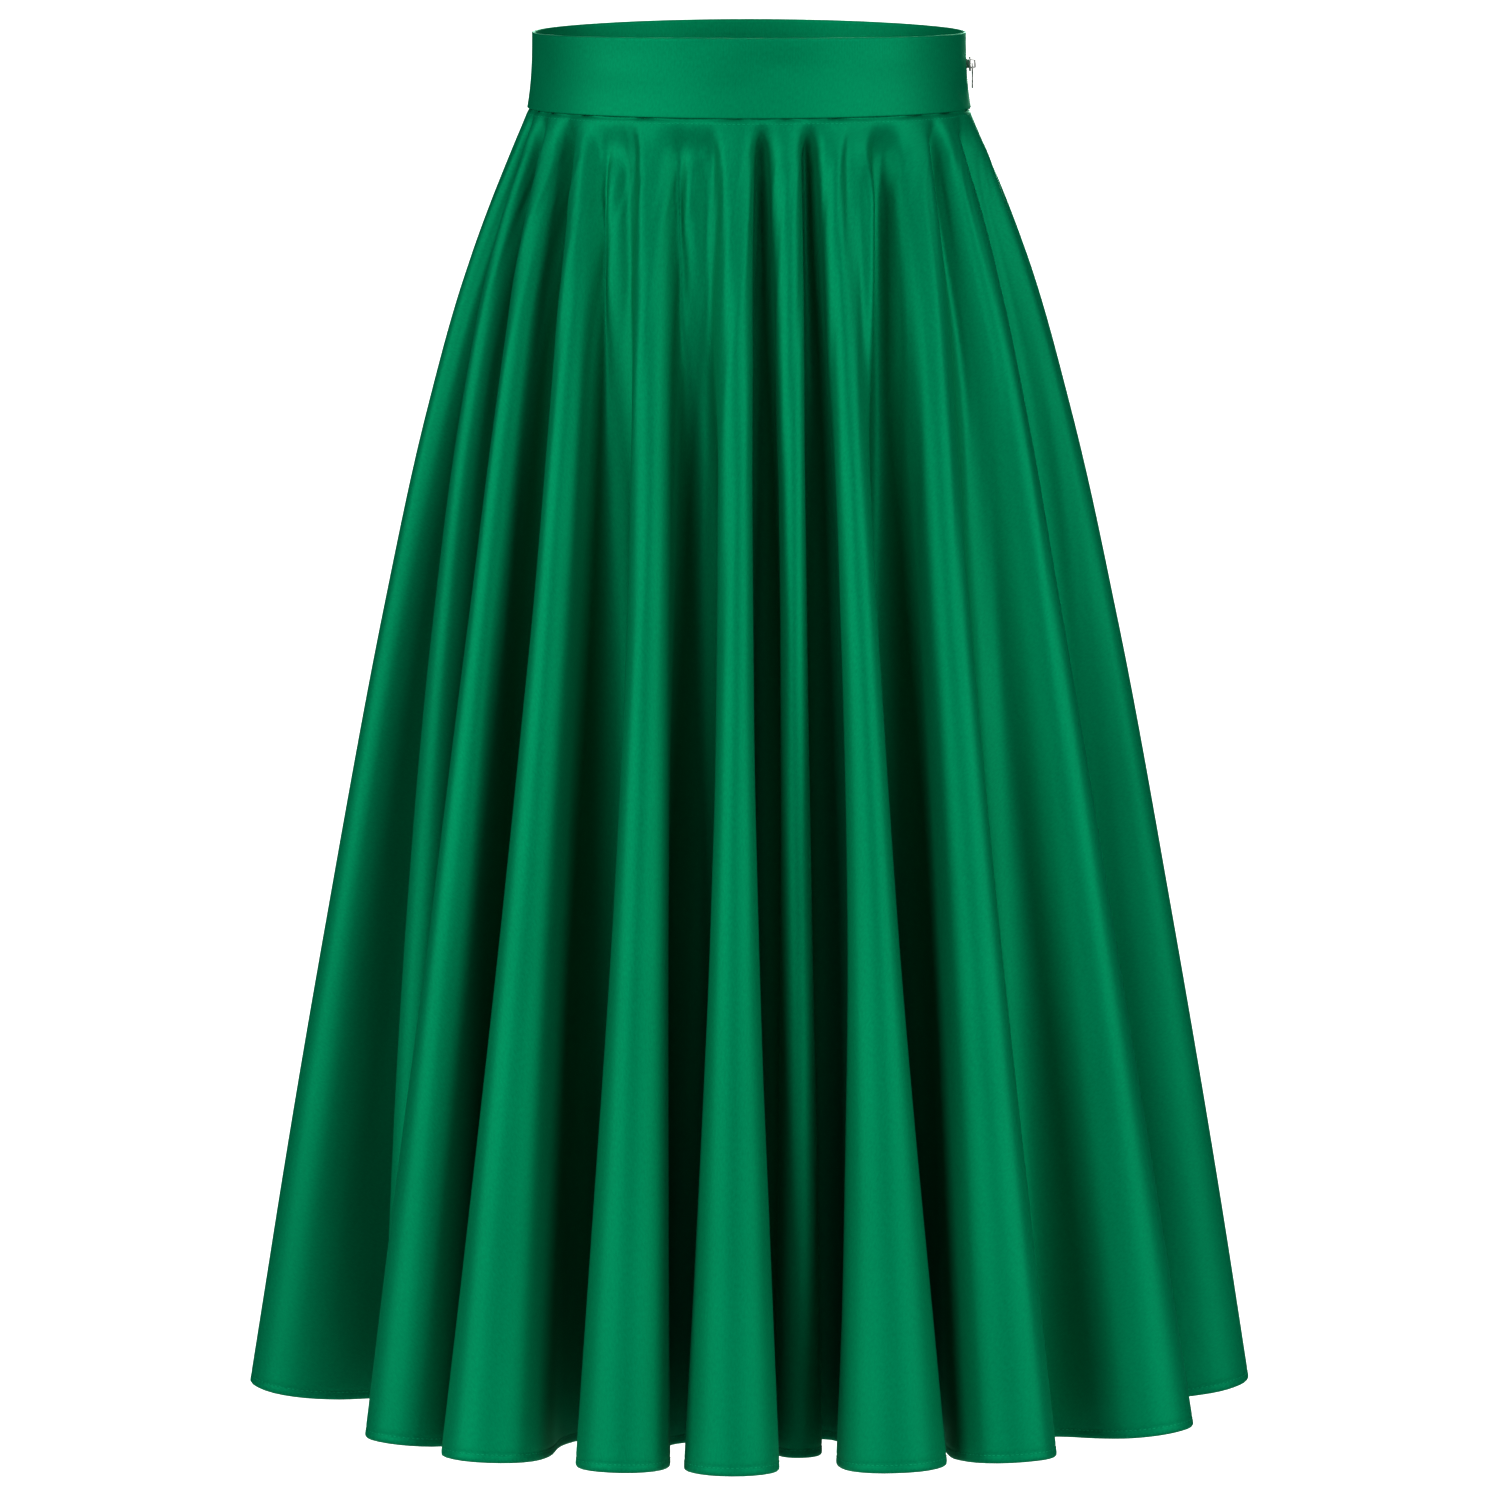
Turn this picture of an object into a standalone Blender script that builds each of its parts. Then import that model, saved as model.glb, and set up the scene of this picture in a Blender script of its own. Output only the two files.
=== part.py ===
# A flared midi skirt, cut as most of a circle, on a wide waistband. It hangs as it is worn, hollow
# and with no wearer. Metres, +Z up. The front faces -Y, and +X is the viewer's right, with the zip.
# The origin is the centre of the waistband at its mid height.
# Angles on the body run from 0 at centre front through 90 degrees at the zip side.
import math
from collections import namedtuple

import bmesh
import bpy
import numpy as np

# Waistband
BAND_HEIGHT = 0.0435
BAND_WALL = 0.0020
RIM_HALF_WIDTH = 0.1250
RIM_HALF_DEPTH = 0.0940
SEAM_HALF_WIDTH = 0.1280
SEAM_HALF_DEPTH = 0.0960
RIM_LIFT = 0.0018          # the rim stands higher at centre front and back than at the sides
BAND_COLUMNS = 36          # facets along each half of the band
BAND_ROWS = 2

# Skirt panels: two sectors of a ring, whose inner edge is the waist seam
CUT_TURN = 0.90            # share of a full circle that the two panels make together
WAIST_EASE = 1.07          # cloth eased into the waist seam, over the seam's own length
FOLD_START = 0.018         # length over which the folds open below the waist seam
CLOTH_LENGTH = 0.7630      # from waist seam to hem along the cloth
CLOTH_WALL = 0.0012
HEM_WALL = 0.0020          # turned twice and stitched
HEM_TURN = 0.0060
SEAM_GAP = 0.0003
BAND_OVERHANG = 0.0003     # the band's face stands proud of the cloth sewn into it
HEM_HALF_DEPTH = 0.2410
DEPTH_POWER = 1.3          # the front and back flare out later than the sides
COLUMN_STOPS = (0.0, 0.15, 0.32, 0.52, 0.72, 0.87)   # columns of a half fold, as shares of its swing
COLUMNS_PER_HALF_FOLD = len(COLUMN_STOPS)

# Drape
ANGLE_SETTLE = 0.13        # length over which a fold leaves its waist angle for its hem angle
RIDGE_SHOULDER = 0.4       # keeps the troughs beside a ridge shallower than the ridge is high
RECESS_POWER = 1.6         # how late down the cloth a recessed fold drops back
MIN_SWING = -0.6           # radians: a half fold flatter than its ring
MAX_SWING = math.radians(118)
DEEPEST_FOLD = 0.16
DEEPEST_RECESS = 0.75      # of the fold depth at any level
STEPS = 60                 # of each half fold's curve
HALVINGS = 26              # of the range in which a swing or a depth is sought
SHARP_ANGLE = math.radians(50)
LEVEL_SHARE = 0.6          # share of each line's own drop that the hem keeps
STEEPEST_RUN = 0.75        # sideways run of a cloth line over its length, at most

# Levels of the cloth, as lengths down from the waist seam
ZIP_END = 0.145
LEVELS = (0.0, 0.015, 0.042, 0.085, ZIP_END, 0.23, 0.34, 0.48, 0.63,
          CLOTH_LENGTH - HEM_TURN, CLOTH_LENGTH)

# Half width of the ring that the fold crests touch, at lengths down the cloth
Flare = namedtuple("Flare", "length half_width")
FLARE = (
    Flare(0.000, 0.1277), Flare(0.030, 0.1400), Flare(0.090, 0.1618), Flare(0.180, 0.1870),
    Flare(0.300, 0.2135), Flare(0.480, 0.2475), Flare(0.650, 0.2770), Flare(0.763, 0.2952),
)

# Power of a fold's rounding at lengths down the cloth: valleys are narrow creases near the waist,
# broad half way down, and narrow again between the full crests at the hem
Breadth = namedtuple("Breadth", "length power")
BREADTH = (
    Breadth(0.000, 1.8), Breadth(0.090, 1.0), Breadth(0.180, 0.1), Breadth(0.300, -0.4),
    Breadth(0.450, -0.3), Breadth(0.620, 0.4), Breadth(0.763, 1.0),
)

# One row per fold, going round from the left side over the front to the right and the back:
# angle of its crest at the waist and at the hem, how far its crest lies back at the hem, and
# how broad its crest is (1 is as broad as its valleys, less is broader).
Fold = namedtuple("Fold", "name waist_deg hem_deg recess rounding")
FRONT_FOLDS = (
    Fold("left_side", -82, -84, 0.000, 0.75), Fold("left_inner", -72, -64, 0.060, 1.00),
    Fold("left_outer", -62, -46.2, 0.002, 0.80), Fold("left", -47, -32.0, -0.010, 0.85),
    Fold("mid_left", -28, -15.2, -0.002, 0.88), Fold("centre", -3, -1.9, 0.002, 0.78),
    Fold("inner", 9.5, 7.5, 0.064, 0.80), Fold("mid_right", 22, 17.4, -0.004, 0.72),
    Fold("right", 49, 32.0, -0.012, 0.84), Fold("right_outer", 62, 54.5, -0.010, 0.75),
    Fold("right_side", 81, 86, 0.000, 0.75),
)
BACK_FOLDS = (
    Fold("back_1", 99, 106, 0.004, 0.78), Fold("back_2", 118, 126, 0.000, 0.78),
    Fold("back_3", 138, 143, 0.030, 1.00), Fold("back_4", 159, 158, 0.000, 0.78),
    Fold("back_5", 179, 175, 0.004, 0.80), Fold("back_6", 200, 192, 0.000, 0.78),
    Fold("back_7", 221, 209, 0.036, 1.00), Fold("back_8", 242, 226, 0.000, 0.78),
    Fold("back_9", 262, 249, 0.004, 0.78),
)
FOLDS = FRONT_FOLDS + BACK_FOLDS

# Valleys before the named folds that stay shallower than the rest, as a share of the others' depth
Shallow = namedtuple("Shallow", "before share")
SHALLOWS = (Shallow("right_outer", 0.50), Shallow("right_side", 0.72), Shallow("back_7", 0.62))

# Ridges in the valley before the named fold, high up the skirt only, each between two troughs.
# Offset and spread are in half folds, the lengths of the peak and the fading are from the seam.
Ridge = namedtuple("Ridge", "before offset lift spread peak fade")
RIDGES = (
    Ridge("mid_left", 0.0, 0.0090, 0.58, 0.045, 0.40), Ridge("centre", 0.0, 0.0080, 0.55, 0.045, 0.24),
    Ridge("right", -0.35, 0.0090, 0.55, 0.050, 0.34), Ridge("back_2", 0.1, 0.0060, 0.55, 0.045, 0.22),
    Ridge("back_5", 0.0, 0.0080, 0.58, 0.045, 0.28), Ridge("back_8", -0.1, 0.0085, 0.55, 0.050, 0.34),
)

# Side zip
ZIP_TOP = 0.0080           # first tooth below the rim
ZIP_COLUMN = len(FRONT_FOLDS) * 2 * COLUMNS_PER_HALF_FOLD
ZIP_GAP = 0.0032           # between the two cloth edges along the teeth
TOOTH_ROW = 0.0014         # between the two tapes
TAPE_WIDTH = 0.0100
TAPE_WALL = 0.0010
TAPE_CLEARANCE = 0.0007
TAPE_COLUMNS = 5
TAPE_BAND_SHARES = (ZIP_TOP / BAND_HEIGHT, 0.55, 0.96)   # tape rows behind the band, rim 0 to seam 1
ZIP_EDGE_COLUMNS = 3       # columns of each panel that make room for the teeth
SLIDER_DROP = 0.0184       # slider's pivot below the rim
SLIDER_LENGTH = 0.0084
SLIDER_WIDTH = 0.0066
SLIDER_PLATE = 0.0011
SLIDER_CLEARANCE = 0.0003
ARCH_WIDTH = 0.0014
ARCH_LENGTH = 0.0056
ARCH_BAR = 0.0010
WINDOW_HEIGHT = 0.0018
NECK_HALF_WIDTH = 0.0008
NECK_LENGTH = 0.0050
WELD_DEPTH = 0.0001        # how far the slider's joined shapes reach into each other
TAB_WIDTH = 0.0044
TAB_THICKNESS = 0.0009
TAB_LENGTH = 0.0142        # from the pivot to the tab's lower end
TAB_BAR = 0.0009
TAB_EYE_WIDTH = 0.0024
TAB_EYE_DEPTH = 0.0036

# Half outline of the tab below its eye: half width as a share of the top's, height above the tip
TabStep = namedtuple("TabStep", "share height")
TAB_STEPS = (
    TabStep(1.00, TAB_LENGTH - TAB_EYE_DEPTH - TAB_BAR),
    TabStep(0.55, TAB_LENGTH - TAB_EYE_DEPTH - TAB_BAR - 0.0012),
    TabStep(0.55, 0.0045), TabStep(0.85, 0.0035), TabStep(0.85, 0.0008), TabStep(0.50, 0.0),
)

GREEN = (0.005, 0.190, 0.088)
DARK_GREEN = (0.003, 0.100, 0.045)
STEEL = (0.62, 0.62, 0.60)


def clear_scene():
    for item in list(bpy.data.objects):
        bpy.data.objects.remove(item, do_unlink=True)


def material(name, color, roughness, metallic=0.0):
    made = bpy.data.materials.new(name)
    made.use_nodes = True
    shader = made.node_tree.nodes["Principled BSDF"]
    shader.inputs["Base Color"].default_value = (*color, 1.0)
    shader.inputs["Roughness"].default_value = roughness
    shader.inputs["Metallic"].default_value = metallic
    return made


def place_object(name, mesh, finish):
    mesh.materials.append(finish)
    thing = bpy.data.objects.new(name, mesh)
    bpy.context.scene.collection.objects.link(thing)
    return thing


def smooth_between(rows, at):
    """Cubic curve through a table's (position, value) rows, read at one position."""
    places = [row[0] for row in rows]
    values = [row[1] for row in rows]
    slopes = np.gradient(values, places)
    index = min(max(np.searchsorted(places, at) - 1, 0), len(rows) - 2)
    span = places[index + 1] - places[index]
    t = (at - places[index]) / span
    from_start = (1 + 2 * t) * (1 - t) ** 2 * values[index] + t * (1 - t) ** 2 * span * slopes[index]
    from_end = t * t * (3 - 2 * t) * values[index + 1] - t * t * (1 - t) * span * slopes[index + 1]
    return from_start + from_end


def crest_ring(length):
    """Half width and half depth of the ring that the crests touch."""
    half_width = smooth_between(FLARE, length)
    start_width = FLARE[0].half_width
    start_depth = SEAM_HALF_DEPTH - BAND_OVERHANG
    grown = (half_width - start_width) / (FLARE[-1].half_width - start_width)
    return half_width, start_depth + (HEM_HALF_DEPTH - start_depth) * grown ** DEPTH_POWER


def ring_point(ring, angle, inset=0.0):
    """Point of a ring in plan, as x + iy, set in from it towards the axis."""
    return (ring[0] - inset) * np.sin(angle) - 1j * (ring[1] - inset) * np.cos(angle)


def ring_heading(ring, angle):
    """Direction of travel round a ring, without jumps."""
    raw = np.arctan2(ring[1] * np.sin(angle), ring[0] * np.cos(angle))
    return angle + np.angle(np.exp(1j * (raw - angle)))


def fold_angles(length):
    """Angles of every crest, and of the valley before each, at one level."""
    settle = math.exp(-length / ANGLE_SETTLE)
    crests = np.radians([fold.hem_deg + (fold.waist_deg - fold.hem_deg) * settle for fold in FOLDS])
    before = np.roll(crests, 1)
    before[0] -= 2 * math.pi
    return crests, (crests + before) / 2


def fold_rounding(length):
    """How broad the crests are at one level."""
    return np.array([fold.rounding for fold in FOLDS]) ** smooth_between(BREADTH, length)


def unit_paths(heading_from, heading_to, side, swing, rounding):
    """Half folds one unit long whose heading swings out and back, as running positions.

    side is -1 from valley to crest and +1 from crest to valley. A rounding below 1 gives the
    crest more of the length and the valley less.
    """
    s = (np.arange(STEPS) + 0.5) / STEPS
    rising = s ** rounding[:, None]
    falling = 1 - (1 - s) ** rounding[:, None]
    wave = np.sin(math.pi * (rising if side < 0 else falling))
    heading = heading_from[:, None] + (heading_to - heading_from)[:, None] * s
    return np.cumsum(np.exp(1j * (heading + side * swing[:, None] * wave)), axis=1) / STEPS


def half_folds(start, end, heading_from, heading_to, side, rounding):
    """Curves from each start to its end, and their lengths.

    The swing is found by halving, so that the curve leaves and arrives along the ring.
    """
    chord = end - start
    low = np.full(len(start), MIN_SWING)
    high = np.full(len(start), MAX_SWING)
    for _ in range(HALVINGS):
        swing = (low + high) / 2
        reach = unit_paths(heading_from, heading_to, side, swing, rounding)[:, -1]
        short = np.angle(chord * np.conj(reach)) * side > 0
        low = np.where(short, swing, low)
        high = np.where(short, high, swing)
    paths = unit_paths(heading_from, heading_to, side, swing, rounding)
    scale = chord / paths[:, -1]
    return start[:, None] + paths * scale[:, None], np.abs(scale)


def valley_shares():
    """Depth of the valley before each fold, as a share of the deepest."""
    shallow = {row.before: row.share for row in SHALLOWS}
    return np.array([shallow.get(fold.name, 1.0) for fold in FOLDS])


def section(length, depth, shares=1.0):
    """Valley points and both half folds of every fold at one level, for a given fold depth."""
    ring = crest_ring(length)
    crest_angles, valley_angles = fold_angles(length)
    late = (length / CLOTH_LENGTH) ** RECESS_POWER
    recess = np.array([fold.recess for fold in FOLDS]) * late
    rounding = fold_rounding(length)
    crests = ring_point(ring, crest_angles, np.minimum(recess, depth * DEEPEST_RECESS))
    valleys = ring_point(ring, valley_angles, depth * shares)
    crest_headings = ring_heading(ring, crest_angles)
    valley_headings = ring_heading(ring, valley_angles)
    next_valleys = np.roll(valleys, -1)
    next_headings = np.roll(valley_headings, -1)
    next_headings[-1] += 2 * math.pi
    rise = half_folds(valleys, crests, valley_headings, crest_headings, -1, rounding)
    fall = half_folds(crests, next_valleys, crest_headings, next_headings, 1, rounding)
    return valleys, rise, fall


def ring_girth(ring):
    """Length of an ellipse with these half axes."""
    flatness = ((ring[0] - ring[1]) / (ring[0] + ring[1])) ** 2
    return math.pi * (ring[0] + ring[1]) * (1 + 3 * flatness / (10 + math.sqrt(4 - 3 * flatness)))


def cut_radius():
    """Waist seam's radius in the flat cut."""
    return WAIST_EASE * ring_girth(crest_ring(0.0)) / (CUT_TURN * 2 * math.pi)


def level_section(length):
    """Section at one level. Its folds are as deep as the flat cut's arc there makes them, less what is
    eased in. The shallow valleys then take less cloth, and the panels are cut that much narrower.
    """
    if length == 0:
        return section(length, 0.0)
    smooth = ring_girth(crest_ring(length))
    arc = CUT_TURN * 2 * math.pi * (cut_radius() + length)
    target = smooth + (arc - smooth) * (1 - math.exp(-(length / FOLD_START) ** 2))
    low, high = 0.0, DEEPEST_FOLD
    for _ in range(HALVINGS):
        depth = (low + high) / 2
        _, rise, fall = section(length, depth)
        if rise[1].sum() + fall[1].sum() < target:
            low = depth
        else:
            high = depth
    return section(length, depth, valley_shares())


def read_path(start, path, stops):
    """Points of a running path at the given shares of its length."""
    shares = np.linspace(0, 1, STEPS + 1)
    whole = np.concatenate(([start], path))
    return np.interp(stops, shares, whole.real) + 1j * np.interp(stops, shares, whole.imag)


def ridge_height(ridge, length):
    """How far a ridge stands out at one level."""
    if length <= ridge.peak:
        return ridge.lift * math.sin(0.5 * math.pi * length / ridge.peak) ** 2
    if length >= ridge.fade:
        return 0.0
    return ridge.lift * math.cos(0.5 * math.pi * (length - ridge.peak) / (ridge.fade - ridge.peak)) ** 2


def lift_ridges(points, length):
    """Push each ridge outwards, and the trough on either side of it inwards."""
    names = [fold.name for fold in FOLDS]
    steps = np.abs(np.roll(points, -1) - points)
    half_fold = steps.sum() / (2 * len(FOLDS))
    places = np.concatenate(([0.0], np.cumsum(steps)[:-1]))
    outward = points / np.abs(points)
    lifted = points.copy()
    for ridge in RIDGES:
        valley = places[names.index(ridge.before) * 2 * COLUMNS_PER_HALF_FOLD]
        away = ((places - valley) / half_fold - ridge.offset) / ridge.spread
        share = (np.cos(math.pi * away) + RIDGE_SHOULDER) / (1 + RIDGE_SHOULDER) * np.exp(-away ** 2)
        lifted += outward * ridge_height(ridge, length) * share
    return lifted


def skirt_rows():
    """Plan points (x + iy) of every level, columns from the left side seam round to itself."""
    stops = np.array(COLUMN_STOPS)
    rows = []
    for length in LEVELS:
        valleys, rise, fall = level_section(length)
        pieces = []
        for index, rounding in enumerate(fold_rounding(length)):
            crest = rise[0][index][-1]
            pieces.append(read_path(valleys[index], rise[0][index], stops ** (1 / rounding)))
            pieces.append(read_path(crest, fall[0][index], 1 - (1 - stops) ** (1 / rounding)))
        rows.append(lift_ridges(np.concatenate(pieces), length))
    return np.array(rows)


def row_heights(rows):
    """Heights of the points: cloth lines keep their length, so what runs out comes up."""
    drops = np.zeros(rows.shape)
    for index in range(1, len(rows)):
        line = LEVELS[index] - LEVELS[index - 1]
        run = np.minimum(np.abs(rows[index] - rows[index - 1]), STEEPEST_RUN * line)
        drops[index] = drops[index - 1] + np.sqrt(line ** 2 - run ** 2)
    mean = drops.mean(axis=1)[:, None]
    return -BAND_HEIGHT / 2 - SEAM_GAP - (mean + LEVEL_SHARE * (drops - mean))


def grid_normals(points):
    """Outward normals of a grid that runs down by row and round by column."""
    normals = np.cross(np.gradient(points, axis=0), np.gradient(points, axis=1))
    return normals / np.linalg.norm(normals, axis=2)[:, :, None]


def wall_object(name, grid, walls, finish):
    """Closed wall behind a grid of points on its outer face, with a thickness for each row."""
    outer = np.array(grid)
    inner = outer - grid_normals(outer) * np.array(walls)[:, None, None]
    inner[0, :, 2] = outer[0, :, 2]    # a level top edge
    rows, columns = outer.shape[:2]
    build = bmesh.new()
    front = [[build.verts.new(point) for point in row] for row in outer]
    back = [[build.verts.new(point) for point in row] for row in inner]
    for r in range(rows - 1):
        for c in range(columns - 1):
            build.faces.new((front[r][c], front[r + 1][c], front[r + 1][c + 1], front[r][c + 1]))
            build.faces.new((back[r][c], back[r][c + 1], back[r + 1][c + 1], back[r + 1][c]))
    for r in range(rows - 1):
        build.faces.new((front[r][0], back[r][0], back[r + 1][0], front[r + 1][0]))
        build.faces.new((front[r][-1], front[r + 1][-1], back[r + 1][-1], back[r][-1]))
    for c in range(columns - 1):
        build.faces.new((front[0][c], front[0][c + 1], back[0][c + 1], back[0][c]))
        build.faces.new((front[-1][c], back[-1][c], back[-1][c + 1], front[-1][c + 1]))
    mesh = bpy.data.meshes.new(name)
    build.to_mesh(mesh)
    build.free()
    mesh.shade_smooth()
    mesh.set_sharp_from_angle(angle=SHARP_ANGLE)
    return place_object(name, mesh, finish)


def pull_in(near, towards, distance):
    """Move a point a given distance towards another."""
    return near + (towards - near) * distance / np.linalg.norm(towards - near)


def surface_points(rows, heights):
    """The outer face as a grid of x, y, z."""
    return np.stack((rows.real, rows.imag, heights), axis=2)


def along_row(row, side, reach):
    """Point of a row at a given reach from the zip seam, to the front (-1) or the back (+1)."""
    column = ZIP_COLUMN
    step = np.linalg.norm(row[column + side] - row[column])
    while reach > step:
        reach -= step
        column += side
        step = np.linalg.norm(row[column + side] - row[column])
    return row[column] + (row[column + side] - row[column]) * reach / step


def open_zip_edge(row, side):
    """A row's points nearest the zip, closed up so that their edge stands clear of the teeth."""
    near = [row[ZIP_COLUMN + side * c] for c in range(ZIP_EDGE_COLUMNS + 1)]
    reaches = np.cumsum([0.0] + [np.linalg.norm(b - a) for a, b in zip(near, near[1:])])
    closed_up = ZIP_GAP / 2 + reaches * (1 - ZIP_GAP / 2 / reaches[-1])
    return [along_row(row, side, reach) for reach in closed_up[:-1]]


def make_skirt_panels(points, finish):
    """Front and back panels, parted at the side seams."""
    count = points.shape[1]
    walls = [HEM_WALL if length >= CLOTH_LENGTH - HEM_TURN else CLOTH_WALL for length in LEVELS]
    for name, first, last in (("skirt_front", 0, ZIP_COLUMN), ("skirt_back", ZIP_COLUMN, count)):
        grid = []
        for length, row in zip(LEVELS, points):
            line = [row[c % count] for c in range(first, last + 1)]
            line[0] = pull_in(line[0], line[1], SEAM_GAP / 2)
            line[-1] = pull_in(line[-1], line[-2], SEAM_GAP / 2)
            if length <= ZIP_END and name == "skirt_front":
                line[-ZIP_EDGE_COLUMNS:] = open_zip_edge(row, -1)[::-1]
            elif length <= ZIP_END:
                line[:ZIP_EDGE_COLUMNS] = open_zip_edge(row, 1)
            grid.append(line)
        wall_object(name, grid, walls, finish)


def band_ring(share):
    """Band's half width and half depth, from rim (0) to waist seam (1)."""
    return (RIM_HALF_WIDTH + (SEAM_HALF_WIDTH - RIM_HALF_WIDTH) * share,
            RIM_HALF_DEPTH + (SEAM_HALF_DEPTH - RIM_HALF_DEPTH) * share)


def band_height(share, angle):
    """Height of the band's surface, with the rim raised at centre front and back."""
    top = BAND_HEIGHT / 2 + RIM_LIFT * math.cos(angle) ** 2
    return top + (-BAND_HEIGHT / 2 - top) * share


def band_points(ring_inset, angles):
    """Grid of points on the band, from rim to waist seam, set in from its outer face."""
    grid = []
    for r in range(BAND_ROWS + 1):
        share = r / BAND_ROWS
        plan = [ring_point(band_ring(share), angle, ring_inset) for angle in angles]
        grid.append([np.array((p.real, p.imag, band_height(share, a))) for p, a in zip(plan, angles)])
    return grid


def make_waistbands(finish):
    """Front and back halves of the band, parted at the left seam and at the zip."""
    for name, start in (("waistband_front", -math.pi / 2), ("waistband_back", math.pi / 2)):
        grid = band_points(0.0, [start + math.pi * c / BAND_COLUMNS for c in range(BAND_COLUMNS + 1)])
        ends = (SEAM_GAP / 2, ZIP_GAP / 2)
        if name == "waistband_back":
            ends = ends[::-1]
        for line in grid:
            line[0] = pull_in(line[0], line[1], ends[0])
            line[-1] = pull_in(line[-1], line[-2], ends[1])
        wall_object(name, grid, [BAND_WALL] * len(grid), finish)


def tape_lines(points, side):
    """Rows of points behind the cloth beside the zip: -1 for the front tape, +1 for the back one."""
    reaches = np.linspace(TOOTH_ROW / 2, TAPE_WIDTH, TAPE_COLUMNS)
    if side < 0:
        reaches = reaches[::-1]
    inset = BAND_WALL + TAPE_CLEARANCE
    lines = []
    for share in TAPE_BAND_SHARES:
        ring = band_ring(share)
        plan = [ring_point(ring, math.pi / 2 + side * reach / ring[1], inset) for reach in reaches]
        lines.append([(p.real, p.imag, band_height(share, math.pi / 2)) for p in plan])
    last = LEVELS.index(ZIP_END) + 1
    beside = np.array([[along_row(row, side, reach) for reach in reaches] for row in points[:last]])
    behind = beside - grid_normals(beside) * inset
    return lines + [list(row) for row in behind[1:]]


def make_zip_tapes(points, finish):
    """Two tapes behind the cloth edges, with the row of teeth between them."""
    for name, side in (("zip_tape_front", -1), ("zip_tape_back", 1)):
        lines = tape_lines(points, side)
        wall_object(name, lines, [TAPE_WALL] * len(lines), finish)


def box_into(build, low, high):
    """Axis-aligned box between two corners."""
    made = bmesh.ops.create_cube(build, size=1.0)["verts"]
    for vert in made:
        vert.co = [low[i] + (vert.co[i] + 0.5) * (high[i] - low[i]) for i in range(3)]
    return made


def slider_face():
    """Height of the pivot, and X of the band's outer face there."""
    pivot_z = BAND_HEIGHT / 2 - SLIDER_DROP
    share = (BAND_HEIGHT / 2 - pivot_z + SLIDER_LENGTH / 2) / BAND_HEIGHT
    return pivot_z, band_ring(share)[0]


def pivot_place():
    """Centre of the tab's bar: on the hinge axis, which runs along Y."""
    pivot_z, face_x = slider_face()
    return face_x + SLIDER_CLEARANCE + SLIDER_PLATE + WINDOW_HEIGHT / 2, pivot_z


def make_slider(finish):
    """Slider's outer plate, the neck between the teeth and the arch that holds the tab."""
    pivot_x, pivot_z = pivot_place()
    plate_x = pivot_x - WINDOW_HEIGHT / 2
    half = SLIDER_LENGTH / 2
    build = bmesh.new()
    arch_x = plate_x + WINDOW_HEIGHT + ARCH_BAR
    arch_half = (ARCH_LENGTH - ARCH_BAR) / 2
    outline = [(plate_x - SLIDER_PLATE, -half), (plate_x, -half), (plate_x, -ARCH_LENGTH / 2),
               (arch_x, -arch_half), (arch_x, arch_half),
               (plate_x, ARCH_LENGTH / 2), (plate_x, half), (plate_x - SLIDER_PLATE, half)]
    ring = [build.verts.new((x, -ARCH_WIDTH / 2, pivot_z + z)) for x, z in outline]
    face = build.faces.new(ring)
    made = bmesh.ops.extrude_face_region(build, geom=[face])["geom"]
    moved = [item for item in made if isinstance(item, bmesh.types.BMVert)]
    bmesh.ops.translate(build, verts=moved, vec=(0, ARCH_WIDTH, 0))
    bmesh.ops.recalc_face_normals(build, faces=build.faces)
    arch = bpy.data.meshes.new("zip_slider")
    build.to_mesh(arch)
    build.free()
    thing = place_object("zip_slider", arch, finish)

    body = bmesh.new()
    box_into(body, (plate_x - SLIDER_PLATE, -SLIDER_WIDTH / 2, pivot_z - half),
             (plate_x - WELD_DEPTH, SLIDER_WIDTH / 2, pivot_z + half))
    plate = mesh_guide("slider_plate", body)
    neck = bmesh.new()
    behind_x = plate_x - SLIDER_PLATE - SLIDER_CLEARANCE - BAND_WALL
    box_into(neck, (behind_x, -NECK_HALF_WIDTH, pivot_z - NECK_LENGTH / 2),
             (plate_x - SLIDER_PLATE / 2, NECK_HALF_WIDTH, pivot_z + NECK_LENGTH / 2))
    stem = mesh_guide("slider_neck", neck)
    window = bmesh.new()
    box_into(window, (plate_x, -ARCH_WIDTH, pivot_z - ARCH_LENGTH / 2 + ARCH_BAR),
             (plate_x + WINDOW_HEIGHT, ARCH_WIDTH, pivot_z + ARCH_LENGTH / 2 - ARCH_BAR))
    hole = mesh_guide("slider_window", window)
    for guide, operation in ((plate, "UNION"), (stem, "UNION"), (hole, "DIFFERENCE")):
        step = thing.modifiers.new(guide.name, "BOOLEAN")
        step.operation = operation
        step.object = guide


def mesh_guide(name, build):
    """Shape used by another piece's Boolean only."""
    mesh = bpy.data.meshes.new(name)
    build.to_mesh(mesh)
    build.free()
    guide = bpy.data.objects.new(name, mesh)
    bpy.context.scene.collection.objects.link(guide)
    guide.hide_render = True
    guide.display_type = "WIRE"
    return guide


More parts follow.
